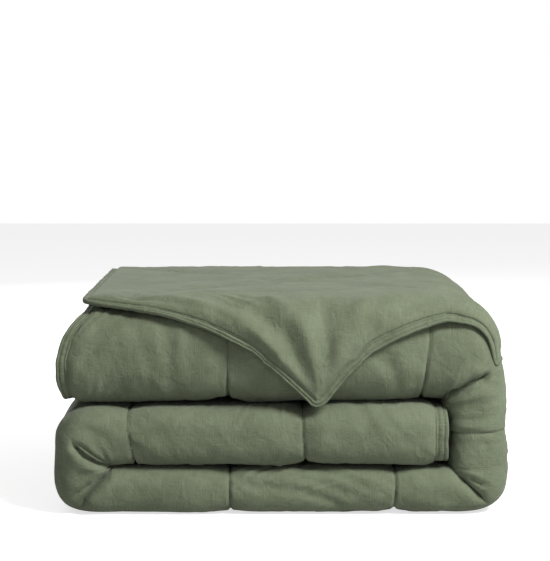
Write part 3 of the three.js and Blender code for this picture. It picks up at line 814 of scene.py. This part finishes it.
stitches = {"lower_folds": [], "top_fold": [], "ply": [], "shoulder": []}
end_line = [(SHEET_LEFT, along) for along in np.linspace(flat[0], cloth_edge[0] - 0.003, 60)]
ply_rim = eased(np.vstack([end_line, front_line[1:]]), 0.0022, 1)
to_flat = smooth((ply_rim[:, :1] - tip_x) / 0.012 + 0.5)
rim_width, rim_thick = HEM_WIDTH + (FLAT_HEM_WIDTH - HEM_WIDTH) * to_flat, 0.0064 - 0.0010 * to_flat
ply_hem, rows = hem_on_front("top_ply_hem", ply_rim, 500, width=rim_width, thick=rim_thick)
stitches["ply"] += rows

rim_steps = np.linspace(-1, 1, 90)[None]
shoulder_front = on_shoulder(shoulder, np.ones((1, 1)), middle_height)[:, 0]
shoulder_inside = on_shoulder(shoulder, np.full((1, 1), 0.96), middle_height)[:, 0]
last = shoulder[-1:]
shoulder_side = on_shoulder(last, rim_steps[:, ::-1], middle_height[-1:])[0]
rim_line = np.vstack([shoulder_front, shoulder_side[1:]])
down_turn = np.array([[last[0, 4], 0, -last[0, 3]]])
rim_out = np.vstack([unit(shoulder_front - shoulder_inside), np.repeat(down_turn, len(shoulder_side) - 1, 0)])
for _ in range(6):
    rim_out[1:-1] = unit(rim_out[:-2] + 2 * rim_out[1:-1] + rim_out[2:])
rim_normal = unit(np.cross(rim_out, unit(np.gradient(rim_line, axis=0))))
rim_normal *= np.sign(np.sum(rim_normal * [0.6, -0.3, 0.7], axis=1))[:, None]
narrowing = np.interp(np.arange(len(rim_line)), [0, len(shoulder_front)], [FLAT_HEM_WIDTH, 0.0090])[:, None]
rim_seat = rim_line - rim_out * HEM_SEAT
shoulder_hem, rows = hem("shoulder_hem", rim_seat, rim_out, rim_normal, narrowing, 0.0038, seed=540)
stitches["shoulder"] += rows

# %% Hems at the ends of the strip
HEM_PROUD = 0.0008  # how far outside the drawn-in end of its ply a hem lies
END_HEM_SEAT = 0.0022  # how far it reaches back over the ply
INNER_HEM_WIDTH = 0.008


def end_hem(name, skin, row, direction, seed, width, thick=0.0050, wave=0.0012):
    """A hem round the U-shaped end of a ply."""
    outer = skin["points"][row]
    middle = eased(outer + skin["normals"][row] * HEM_PROUD, 0.0032, 1)
    spread_at = np.linspace(0, len(outer) - 1, len(middle))
    columns, normals = np.arange(len(outer)), skin["normals"][row]
    normal = np.stack([np.interp(spread_at, columns, normals[:, k]) for k in range(3)], 1)
    outward = np.repeat(np.array([[direction, 0.0, 0.0]]), len(middle), 0)
    edge = middle - outward * END_HEM_SEAT
    return hem(name, edge, outward, normal, width, thick, seed, wave)


middle_hem, rows = end_hem("middle_end_hem_band", lower_skin, 0, 1, 560, 0.0185, wave=0.0024)
stitches["lower_folds"] += rows
left_hem, rows = end_hem("top_end_hem_band", upper_skin, -1, -1, 580, 0.0160, wave=0.0022)
stitches["top_fold"] += rows
middle_inner_hem, rows = end_hem("middle_inner_hem_band", lower_inner_skin, 0, 1, 600, INNER_HEM_WIDTH)
stitches["lower_folds"] += rows[1:]
top_inner_hem, rows = end_hem("top_inner_hem_band", upper_inner_skin, -1, -1, 610, INNER_HEM_WIDTH)
stitches["top_fold"] += rows[1:]

# %% [markdown]
# At the back the two plies nearest the core are one cloth, folded, so a soft round fold joins them. The two
# outer ones end in hems, as wide as the rest.

# %% Folds and hems at the back
def back_pieces(prefix, path, warp=None):
    """The round fold and the two hems along the back of a path."""
    stations = sample(path, spread(path[-1, 0], 0.005))
    thick = stations[:, 5:6]
    angle = np.linspace(0, 2 * math.pi, 25)[None]
    swell = 1 + 0.10 * cloud(stations[:, 0:1] / 0.05, 0 * angle, 640)
    y = BACK - 0.003 + 0.0150 * np.cos(angle) * swell
    u = thick * (0.245 + 0.235 * np.sin(angle))
    fold_points, _ = place_section(stations, y + 0 * u, u, 0 * u, 0 * u + 1)
    around = np.linspace(0, 0.1, 25)[None]
    if warp:
        fold_points = warp(fold_points, stations, u)
    fold = bend_grid(prefix + "_back_fold_roll", fold_points,
                     np.stack([stations[:, 0:1] + 0 * around, around + 0 * stations[:, 0:1]], 2))
    pieces, rows = [], []
    for k, share in enumerate((0.62, 0.87)):
        line, _ = place_section(stations, BACK + 0 * thick, thick * share, 0 * thick, 0 * thick + 1)
        if warp:
            line = warp(line, stations, thick * share)
        line = line[:, 0]
        outward = np.repeat(np.array([[0.0, 1.0, 0.0]]), len(line), 0)
        normal = np.stack([stations[:, 3], 0 * stations[:, 3], stations[:, 4]], 1)
        name = f"{prefix}_back_hem_{k + 1}"
        piece, lines = hem(name, line, outward, normal, 0.0100, seed=660 + 7 * k, wave=0.0015)
        pieces.append(piece)
        rows += lines[1:]
    return fold, pieces, rows


lower_fold_roll, lower_back_hems, rows = back_pieces("lower", lower_path)
stitches["lower_folds"] += rows
upper_fold_roll, upper_back_hems, rows = back_pieces("upper", upper_path, lean_left_end)
stitches["top_fold"] += rows

# %% [markdown]
# ## Stitches
# A quilting seam is a running stitch through all the layers. Each visible stitch is a tiny spindle of thread
# that lies in the valley, so a row is one spindle repeated at the stitch length.

# %% Rows of stitches
STITCH_PITCH, STITCH_LENGTH, THREAD = 0.0036, 0.0026, 0.00055


def spindle():
    """Corners and faces of one stitch, a small ball of radius 1, numbered the same way on every run."""
    bm = bmesh.new()
    bmesh.ops.create_uvsphere(bm, u_segments=6, v_segments=4, radius=1)
    bmesh.ops.recalc_face_normals(bm, faces=bm.faces)
    bm.verts.index_update()
    corners = np.array([corner.co[:] for corner in bm.verts])
    faces = [[corner.index for corner in face.verts] for face in bm.faces]
    bm.free()
    order = np.lexsort(np.round(corners, 5).T)
    new_number = np.argsort(order)
    faces = [[int(new_number[corner]) for corner in face] for face in faces]
    return corners[order], sorted(faces)


STITCH_CORNERS, STITCH_FACES = spindle()


def sew(name, rows, pitch=STITCH_PITCH):
    """One mesh of all the stitches along rows of (points, normals)."""
    corners, faces = [], []
    for points, normals in rows:
        at = np.concatenate([[0], np.cumsum(np.linalg.norm(np.diff(points, axis=0), axis=1))])
        places = np.arange(pitch, at[-1] - pitch, pitch)[:, None]

        def along_row(values, where):
            return np.stack([np.interp(where[:, 0], at, values[:, k]) for k in range(3)], 1)

        where, off = along_row(points, places), unit(along_row(normals, places))
        ahead = unit(along_row(points, places + 0.001) - where)
        side = unit(np.cross(off, ahead))
        for k in range(len(places)):
            shape = STITCH_CORNERS * [THREAD, THREAD * 0.8, STITCH_LENGTH / 2]
            turned = shape @ np.stack([side[k], np.cross(ahead[k], side[k]), ahead[k]])
            faces += [[corner + len(corners) * len(STITCH_CORNERS) for corner in face] for face in STITCH_FACES]
            corners.append(turned + where[k] + off[k] * THREAD * 0.3)
    mesh = bpy.data.meshes.new(name)
    mesh.from_pydata(np.concatenate(corners).tolist(), [], faces)
    mesh.shade_smooth()
    piece = bpy.data.objects.new(name, mesh)
    bpy.context.scene.collection.objects.link(piece)
    print(f"{name}: {len(corners)} stitches, {len(faces)} faces")
    return piece


def seam_row(skin, k, place, slant):
    """Points and normals along quilting seam number k of a skin."""
    s = skin["stations"][:, 0]
    shift = seam_wander(skin["points"], skin["length"], k, slant)
    points, normals = [], []
    for column in range(shift.shape[1]):
        at = s - shift[:, column]
        points.append([np.interp(place, at, skin["points"][:, column, axis]) for axis in range(3)])
        normals.append([np.interp(place, at, skin["normals"][:, column, axis]) for axis in range(3)])
    return np.array(points), np.array(normals)


for body, skin, seams in (("lower_folds", lower_skin, lower_seams), ("top_fold", upper_skin, upper_seams)):
    stitches[body] += [seam_row(skin, k, place, slant) for k, (place, _, slant) in enumerate(seams)]
for line in SHEET_SEAMS:
    seam = eased(line, 0.003, 0)
    on_ply = (seam[:, 0] > SHEET_LEFT + 0.004) & (seam[:, 0] < HIGH_TURN_X) & (seam[:, 1] > flat[0])
    seam = seam[on_ply]
    sunk = SHEET_THICK / 2 + sheet_relief(seam[:, 0], seam[:, 1])
    top = on_front(seam[:, 0], seam[:, 1], sunk)
    stitches["ply"].append((top, on_front(seam[:, 0], seam[:, 1], sunk + 0.01) - top))
lower_thread = sew("lower_folds_stitches", stitches["lower_folds"])
upper_thread = sew("top_fold_stitches", stitches["top_fold"])
ply_thread = sew("top_ply_stitches", stitches["ply"])
shoulder_thread = sew("shoulder_stitches", stitches["shoulder"])

# %% [markdown]
# ## Settling
# Soft runs do not meet on level lines: the upper ones sag over the lower ones, more so towards the loose left
# end, and the shoulder is held in by its ply. One smooth bend of all the pieces keeps them in contact.

# %% Settle the pieces into each other
PRESSED = 0.004  # the underside starts to flatten this far off the floor


def settle(piece):
    mesh = piece.data
    flat_places = np.empty(len(mesh.vertices) * 3)
    mesh.vertices.foreach_get("co", flat_places)
    places = flat_places.reshape(-1, 3)
    x, z = places[:, 0], places[:, 2]
    sag = 0.0075 - 0.0035 * smooth((x + 0.15) / 0.35) + 0.0010 * cloud(x / 0.12, 0 * x, 900)
    sag *= smooth((0.285 - x) / 0.09)
    middle_line = smooth(1 - np.abs(z - middle_high.z) / 0.056)
    low_line = smooth(1 - np.abs(z - bottom_high.z) / 0.045)
    places[:, 2] -= sag * middle_line
    low_sag = 0.0026 + 0.0012 * cloud(x / 0.13, 0 * x, 910)
    places[:, 2] -= low_sag * low_line * smooth((0.29 - np.abs(x)) / 0.09)
    places[:, 0] -= 0.0045 * np.exp(-((z - 0.205) / 0.036) ** 2) * smooth((x - 0.225) / 0.075)
    # The underside flattens against the floor instead of going through it.
    low = places[:, 2] < PRESSED
    places[low, 2] = PRESSED * np.exp((places[low, 2] - PRESSED) / PRESSED)
    mesh.vertices.foreach_set("co", places.ravel())
    mesh.update()


made = [piece for piece in bpy.context.scene.objects if piece.name not in first_objects]
for piece in made:
    if piece.type == "MESH":
        settle(piece)
print("settled", len(made), "pieces")

# %% [markdown]
# ## Materials
# The face, the lining and the hems are one washed cotton: a matt plain weave with thicker slub threads, a soft
# mottle where the dye has washed out, and fine creases. Cloth, hem and thread share these effects, so each is a
# node group, placed in each material with its own values. The weave reads the cloth's own UV map, in metres, so
# that its threads turn with the cloth.

# %% Groups of nodes
def new_group(name, inputs, outputs):
    group = bpy.data.node_groups.new(name, "ShaderNodeTree")
    for socket, kind, value in inputs:
        made = group.interface.new_socket(socket, in_out="INPUT", socket_type=kind)
        if value is not None:
            made.default_value = value
    for socket, kind in outputs:
        group.interface.new_socket(socket, in_out="OUTPUT", socket_type=kind)
    return group, group.nodes.new("NodeGroupInput"), group.nodes.new("NodeGroupOutput")


def node(tree, kind, **settings):
    """A node with its settings, and its inputs by name: a link where the value is a socket."""
    made = tree.nodes.new(kind)
    links = settings.pop("inputs", {})
    for key, value in settings.items():
        setattr(made, key, value)
    for key, value in links.items():
        if isinstance(value, bpy.types.NodeSocket):
            tree.links.new(value, made.inputs[key])
        else:
            made.inputs[key].default_value = value
    return made


def mottle_group():
    """Broad uneven fading and fine slub streaks, as a colour and a mask."""
    group, enter, leave = new_group(
        "Washed mottle",
        [("Vector", "NodeSocketVector", None), ("Threads", "NodeSocketVector", None),
         ("Color", "NodeSocketColor", (0.2, 0.22, 0.16, 1)),
         ("Worn color", "NodeSocketColor", (0.26, 0.28, 0.2, 1)),
         ("Amount", "NodeSocketFloat", 0.6)],
        [("Color", "NodeSocketColor"), ("Fade", "NodeSocketFloat")],
    )
    broad = node(group, "ShaderNodeTexNoise", inputs={
        "Vector": enter.outputs["Vector"], "Scale": 17.0, "Detail": 5.0, "Roughness": 0.62})
    stretch = node(group, "ShaderNodeVectorMath", operation="MULTIPLY", inputs={
        0: enter.outputs["Threads"], 1: (900.0, 42.0, 1.0)})
    slub = node(group, "ShaderNodeTexNoise", inputs={"Vector": stretch.outputs[0], "Scale": 1.0, "Detail": 2.0})
    across = node(group, "ShaderNodeVectorMath", operation="MULTIPLY", inputs={
        0: enter.outputs["Threads"], 1: (38.0, 820.0, 1.0)})
    weft = node(group, "ShaderNodeTexNoise", inputs={"Vector": across.outputs[0], "Scale": 1.0, "Detail": 2.0})
    threads = node(group, "ShaderNodeMath", operation="ADD", inputs={
        0: slub.outputs["Fac"], 1: weft.outputs["Fac"]})
    both = node(group, "ShaderNodeMath", operation="MULTIPLY_ADD", inputs={
        0: threads.outputs[0], 1: 0.45, 2: broad.outputs["Fac"]})
    fade = node(group, "ShaderNodeMapRange", inputs={
        "Value": both.outputs[0], "From Min": 0.72, "From Max": 1.18})
    share = node(group, "ShaderNodeMath", operation="MULTIPLY", inputs={
        0: fade.outputs["Result"], 1: enter.outputs["Amount"]})
    mix = node(group, "ShaderNodeMix", data_type="RGBA", inputs={
        0: share.outputs[0], 6: enter.outputs["Color"], 7: enter.outputs["Worn color"]})
    group.links.new(mix.outputs[2], leave.inputs["Color"])
    group.links.new(fade.outputs["Result"], leave.inputs["Fade"])
    return group


def weave_group():
    """The height of a plain weave with soft creases under it."""
    group, enter, leave = new_group(
        "Plain weave",
        [("Vector", "NodeSocketVector", None), ("Threads", "NodeSocketVector", None),
         ("Turns per metre", "NodeSocketFloat", 7500.0), ("Creases", "NodeSocketFloat", 1.0)],
        [("Height", "NodeSocketFloat")],
    )
    scaled = node(group, "ShaderNodeVectorMath", operation="SCALE", inputs={
        0: enter.outputs["Threads"], "Scale": enter.outputs["Turns per metre"]})
    split = node(group, "ShaderNodeSeparateXYZ", inputs={0: scaled.outputs[0]})
    warp = node(group, "ShaderNodeMath", operation="SINE", inputs={0: split.outputs["X"]})
    weft = node(group, "ShaderNodeMath", operation="SINE", inputs={0: split.outputs["Y"]})
    cross = node(group, "ShaderNodeMath", operation="MULTIPLY", inputs={0: warp.outputs[0], 1: weft.outputs[0]})
    crumple = node(group, "ShaderNodeTexNoise", inputs={
        "Vector": enter.outputs["Vector"], "Scale": 52.0, "Detail": 6.0, "Roughness": 0.6, "Distortion": 0.7})
    crumple_height = node(group, "ShaderNodeMath", operation="MULTIPLY", inputs={
        0: crumple.outputs["Fac"], 1: enter.outputs["Creases"]})
    stretch = node(group, "ShaderNodeVectorMath", operation="MULTIPLY", inputs={
        0: enter.outputs["Threads"], 1: (640.0, 36.0, 1.0)})
    slub = node(group, "ShaderNodeTexNoise", inputs={"Vector": stretch.outputs[0], "Scale": 1.0, "Detail": 3.0})
    slubbed = node(group, "ShaderNodeMath", operation="MULTIPLY_ADD", inputs={
        0: slub.outputs["Fac"], 1: 0.16, 2: crumple_height.outputs[0]})
    height = node(group, "ShaderNodeMath", operation="MULTIPLY_ADD", inputs={
        0: cross.outputs[0], 1: 0.012, 2: slubbed.outputs[0]})
    group.links.new(height.outputs[0], leave.inputs["Height"])
    return group


WASHED_MOTTLE, PLAIN_WEAVE = mottle_group(), weave_group()
print("groups:", WASHED_MOTTLE.name, PLAIN_WEAVE.name)

# %% Cloth, hem and thread
def grouped(tree, group, **inputs):
    made = tree.nodes.new("ShaderNodeGroup")
    made.node_tree = group
    for key, value in inputs.items():
        key = key.replace("_", " ")
        if isinstance(value, bpy.types.NodeSocket):
            tree.links.new(value, made.inputs[key])
        else:
            made.inputs[key].default_value = value
    return made


def cotton(name, color, worn, amount, creases, depth, sheen, roughness, upright=False):
    """A cotton cloth material: fade, weave and creases over a matt shader with some fuzz.

    Its threads follow the piece's own map, or X and Z where upright is set, for a flat solid with no map.
    """
    material = bpy.data.materials.new(name)
    material.use_nodes = True
    tree = material.node_tree
    shader = tree.nodes["Principled BSDF"]
    place = node(tree, "ShaderNodeTexCoord")
    if upright:
        turned = node(tree, "ShaderNodeMapping", inputs={
            "Vector": place.outputs["Object"], "Rotation": (math.pi / 2, 0, 0)})
        threads = turned.outputs["Vector"]
    else:
        threads = node(tree, "ShaderNodeUVMap", uv_map="cloth").outputs["UV"]
    mottle = grouped(tree, WASHED_MOTTLE, Vector=place.outputs["Object"], Threads=threads,
                     Color=(*color, 1), Worn_color=(*worn, 1), Amount=amount)
    weave = grouped(tree, PLAIN_WEAVE, Vector=place.outputs["Object"], Threads=threads, Creases=creases)
    bump = node(tree, "ShaderNodeBump", inputs={
        "Strength": 1.0, "Distance": depth, "Height": weave.outputs["Height"]})
    rough = node(tree, "ShaderNodeMapRange", inputs={
        "Value": mottle.outputs["Fade"], "To Min": roughness, "To Max": min(1.0, roughness + 0.08)})
    tree.links.new(mottle.outputs["Color"], shader.inputs["Base Color"])
    tree.links.new(rough.outputs["Result"], shader.inputs["Roughness"])
    tree.links.new(bump.outputs["Normal"], shader.inputs["Normal"])
    shader.inputs["Sheen Weight"].default_value = sheen
    shader.inputs["Sheen Roughness"].default_value = 0.5
    shader.inputs["Sheen Tint"].default_value = (0.82, 0.84, 0.78, 1)
    shader.inputs["Specular IOR Level"].default_value = 0.25
    return material


face_cloth = cotton(
    "washed cotton face", (0.084, 0.100, 0.060), (0.142, 0.166, 0.108), 0.75, 1.0, 0.0026, 0.10, 0.88)
lining_cloth = cotton(
    "washed cotton lining", (0.090, 0.107, 0.064), (0.147, 0.171, 0.111), 0.70, 1.0, 0.0024, 0.10, 0.9)
hem_cloth = cotton("cotton hem", (0.079, 0.095, 0.057), (0.140, 0.164, 0.107), 0.80, 1.3, 0.0028, 0.10, 0.88)
quilting_thread = cotton(
    "quilting thread", (0.060, 0.073, 0.043), (0.090, 0.107, 0.067), 0.5, 0.3, 0.0006, 0.0, 0.7)

lower_linings, upper_linings = [lower_inner, lower_fold_roll], [upper_inner, upper_fold_roll]
lower_hems = [middle_hem, middle_inner_hem, *lower_back_hems]
upper_hems = [left_hem, top_inner_hem, *upper_back_hems]
dress = (
    ([lower_cover, upper_cover, top_ply, shoulder_ply], face_cloth, "face_cloth"),
    (lower_linings + upper_linings, lining_cloth, "lining_cloth"),
    (lower_hems + upper_hems + [ply_hem, shoulder_hem], hem_cloth, "hem_cloth"),
    ([lower_thread, upper_thread, ply_thread, shoulder_thread], quilting_thread, "quilting_thread"),
)
for pieces, material, slot in dress:
    for piece in pieces:
        piece.data.materials.append(material)
    print(material.name, len(pieces), "pieces")

label_tape = cotton(
    "label tape", (0.58, 0.57, 0.52), (0.70, 0.69, 0.65), 0.6, 0.25, 0.0009, 0.05, 0.75, upright=True)
for label_slot in frame["nodes"]["care_label"].material_slots:
    label_slot.link = "OBJECT"
    label_slot.material = label_tape
print(label_tape.name, "on the blank care label")

# %% [markdown]
# ## Light and floor
# Soft light from the upper right lights the fronts from the side, so that every puff turns darker towards its
# left and its underside, and a pale surround fills the shadows.

# %% Light and floor
WHITE_FILL, SURROUND = 1.0, 0.33
world = bpy.data.worlds.new("studio")
bpy.context.scene.world = world
world.use_nodes = True
sky = world.node_tree
fill = sky.nodes["Background"]
fill.inputs["Color"].default_value = (1, 1, 1, 1)
fill.inputs["Strength"].default_value = SURROUND
seen = node(sky, "ShaderNodeBackground", inputs={"Color": (1, 1, 1, 1), "Strength": WHITE_FILL})
sky_rays = node(sky, "ShaderNodeLightPath")
choose = node(sky, "ShaderNodeMixShader", inputs={
    0: sky_rays.outputs["Is Camera Ray"], 1: fill.outputs[0], 2: seen.outputs[0]})
sky.links.new(choose.outputs[0], sky.nodes["World Output"].inputs["Surface"])


def soft_box(name, place, target, size, watts):
    lamp = bpy.data.objects.new(name, bpy.data.lights.new(name, "AREA"))
    lamp.data.shape = "RECTANGLE"
    lamp.data.size, lamp.data.size_y = size
    lamp.data.energy = watts
    lamp.location = place
    lamp.rotation_euler = (Vector(target) - Vector(place)).to_track_quat("-Z", "Y").to_euler()
    bpy.context.scene.collection.objects.link(lamp)
    return lamp


soft_box("key", (1.45, -1.35, 1.95), (0, 0, 0.15), (0.8, 0.8), 112)
soft_box("front", (1.2, -2.5, 0.6), (0.1, 0, 0.1), (1.2, 0.8), 7)
soft_box("back", (-0.9, 2.3, 1.3), (0, 0.2, 0.12), (1.2, 0.9), 30)

FLOOR_HALF = 6.0
FLOOR_GAP = 0.0005  # under the stack, so that the two never share a surface
FLOOR_GLOW = 0.68  # what only the camera sees
bm = bmesh.new()
bmesh.ops.create_grid(bm, x_segments=2, y_segments=2, size=FLOOR_HALF)
floor_mesh = bpy.data.meshes.new("floor")
bm.to_mesh(floor_mesh)
bm.free()
floor = bpy.data.objects.new("floor", floor_mesh)
floor.location.z = -FLOOR_GAP
bpy.context.scene.collection.objects.link(floor)
pale = bpy.data.materials.new("pale floor")
pale.use_nodes = True
pale_shader = pale.node_tree.nodes["Principled BSDF"]
pale_shader.inputs["Base Color"].default_value = (0.55, 0.55, 0.55, 1)
pale_shader.inputs["Roughness"].default_value = 1.0
pale_shader.inputs["Specular IOR Level"].default_value = 0.0
glow = node(pale.node_tree, "ShaderNodeEmission", inputs={"Color": (1, 1, 1, 1), "Strength": FLOOR_GLOW})
add = node(pale.node_tree, "ShaderNodeAddShader", inputs={0: pale_shader.outputs[0], 1: glow.outputs[0]})
only_seen = node(pale.node_tree, "ShaderNodeLightPath")
switch = node(pale.node_tree, "ShaderNodeMixShader", inputs={
    0: only_seen.outputs["Is Camera Ray"], 1: pale_shader.outputs[0], 2: add.outputs[0]})
pale.node_tree.links.new(switch.outputs[0], pale.node_tree.nodes["Material Output"].inputs["Surface"])
floor_mesh.materials.append(pale)

# %% [markdown]
# ## Bodies
# The roll's lower two runs lie still, the top run rolls open round the right-hand turn, and the ply's corner
# lifts off the front. The lower pieces ride on the lower folds and the shoulder pieces on the top fold; the
# cloth that spans two bodies, the top fold's cover and the ply over the top, is only set in place and rides on
# neither.

# %% Bodies
for piece in [lower_cover, *lower_linings, *lower_hems, lower_thread]:
    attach(piece, "lower_folds")
for piece in [upper_cover, *upper_linings, *upper_hems, upper_thread]:
    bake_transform(piece)
for piece in (top_ply, ply_hem, ply_thread):
    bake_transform(piece)
for piece in (shoulder_ply, shoulder_hem, shoulder_thread):
    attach(piece, "top_fold")

# %% [markdown]
# Each new piece stands for the plain solids it takes the place of: hems for hems, folds for folds, stitches
# for the seams, the inner plies for the linings with the batting next to them, and the covers for the shells
# with the rest of the batting. The care label keeps its own solid.

# %% What each piece stands for
LOWER, UPPER, PLY = ("bottom", "middle", "left", "lower", "right"), ("top_", "upper"), ("top_ply", "corner")
stands_for = {piece: [] for piece in (
    lower_cover, lower_inner, upper_inner, lower_fold_roll, middle_hem, middle_inner_hem, lower_back_hems[0],
    lower_thread, upper_cover, upper_fold_roll, left_hem, top_inner_hem, upper_back_hems[0], upper_thread,
    top_ply, ply_hem)}
for name in frame["nodes"]:
    if name.startswith(PLY):
        chosen = ply_hem if "hem" in name else top_ply
    elif name.startswith(LOWER) or name.startswith(UPPER):
        low = name.startswith(LOWER)
        if "seam" in name:
            chosen = lower_thread if low else upper_thread
        elif "back_hem" in name or "hem_back" in name:
            chosen = lower_back_hems[0] if low else upper_back_hems[0]
        elif "back_fold" in name:
            chosen = lower_fold_roll if low else upper_fold_roll
        elif "lining" in name or "inner_batting" in name:
            chosen = lower_inner if low else upper_inner
        elif "hem_inner" in name:
            chosen = middle_inner_hem if low else top_inner_hem
        elif "hem" in name:
            chosen = middle_hem if low else left_hem
        else:
            chosen = lower_cover if low else upper_cover
    else:
        print("kept as it is:", name)
        continue
    stands_for[chosen].append(name)
for piece, names in stands_for.items():
    print(piece.name, "stands for", names)
    if names:
        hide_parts(*names)
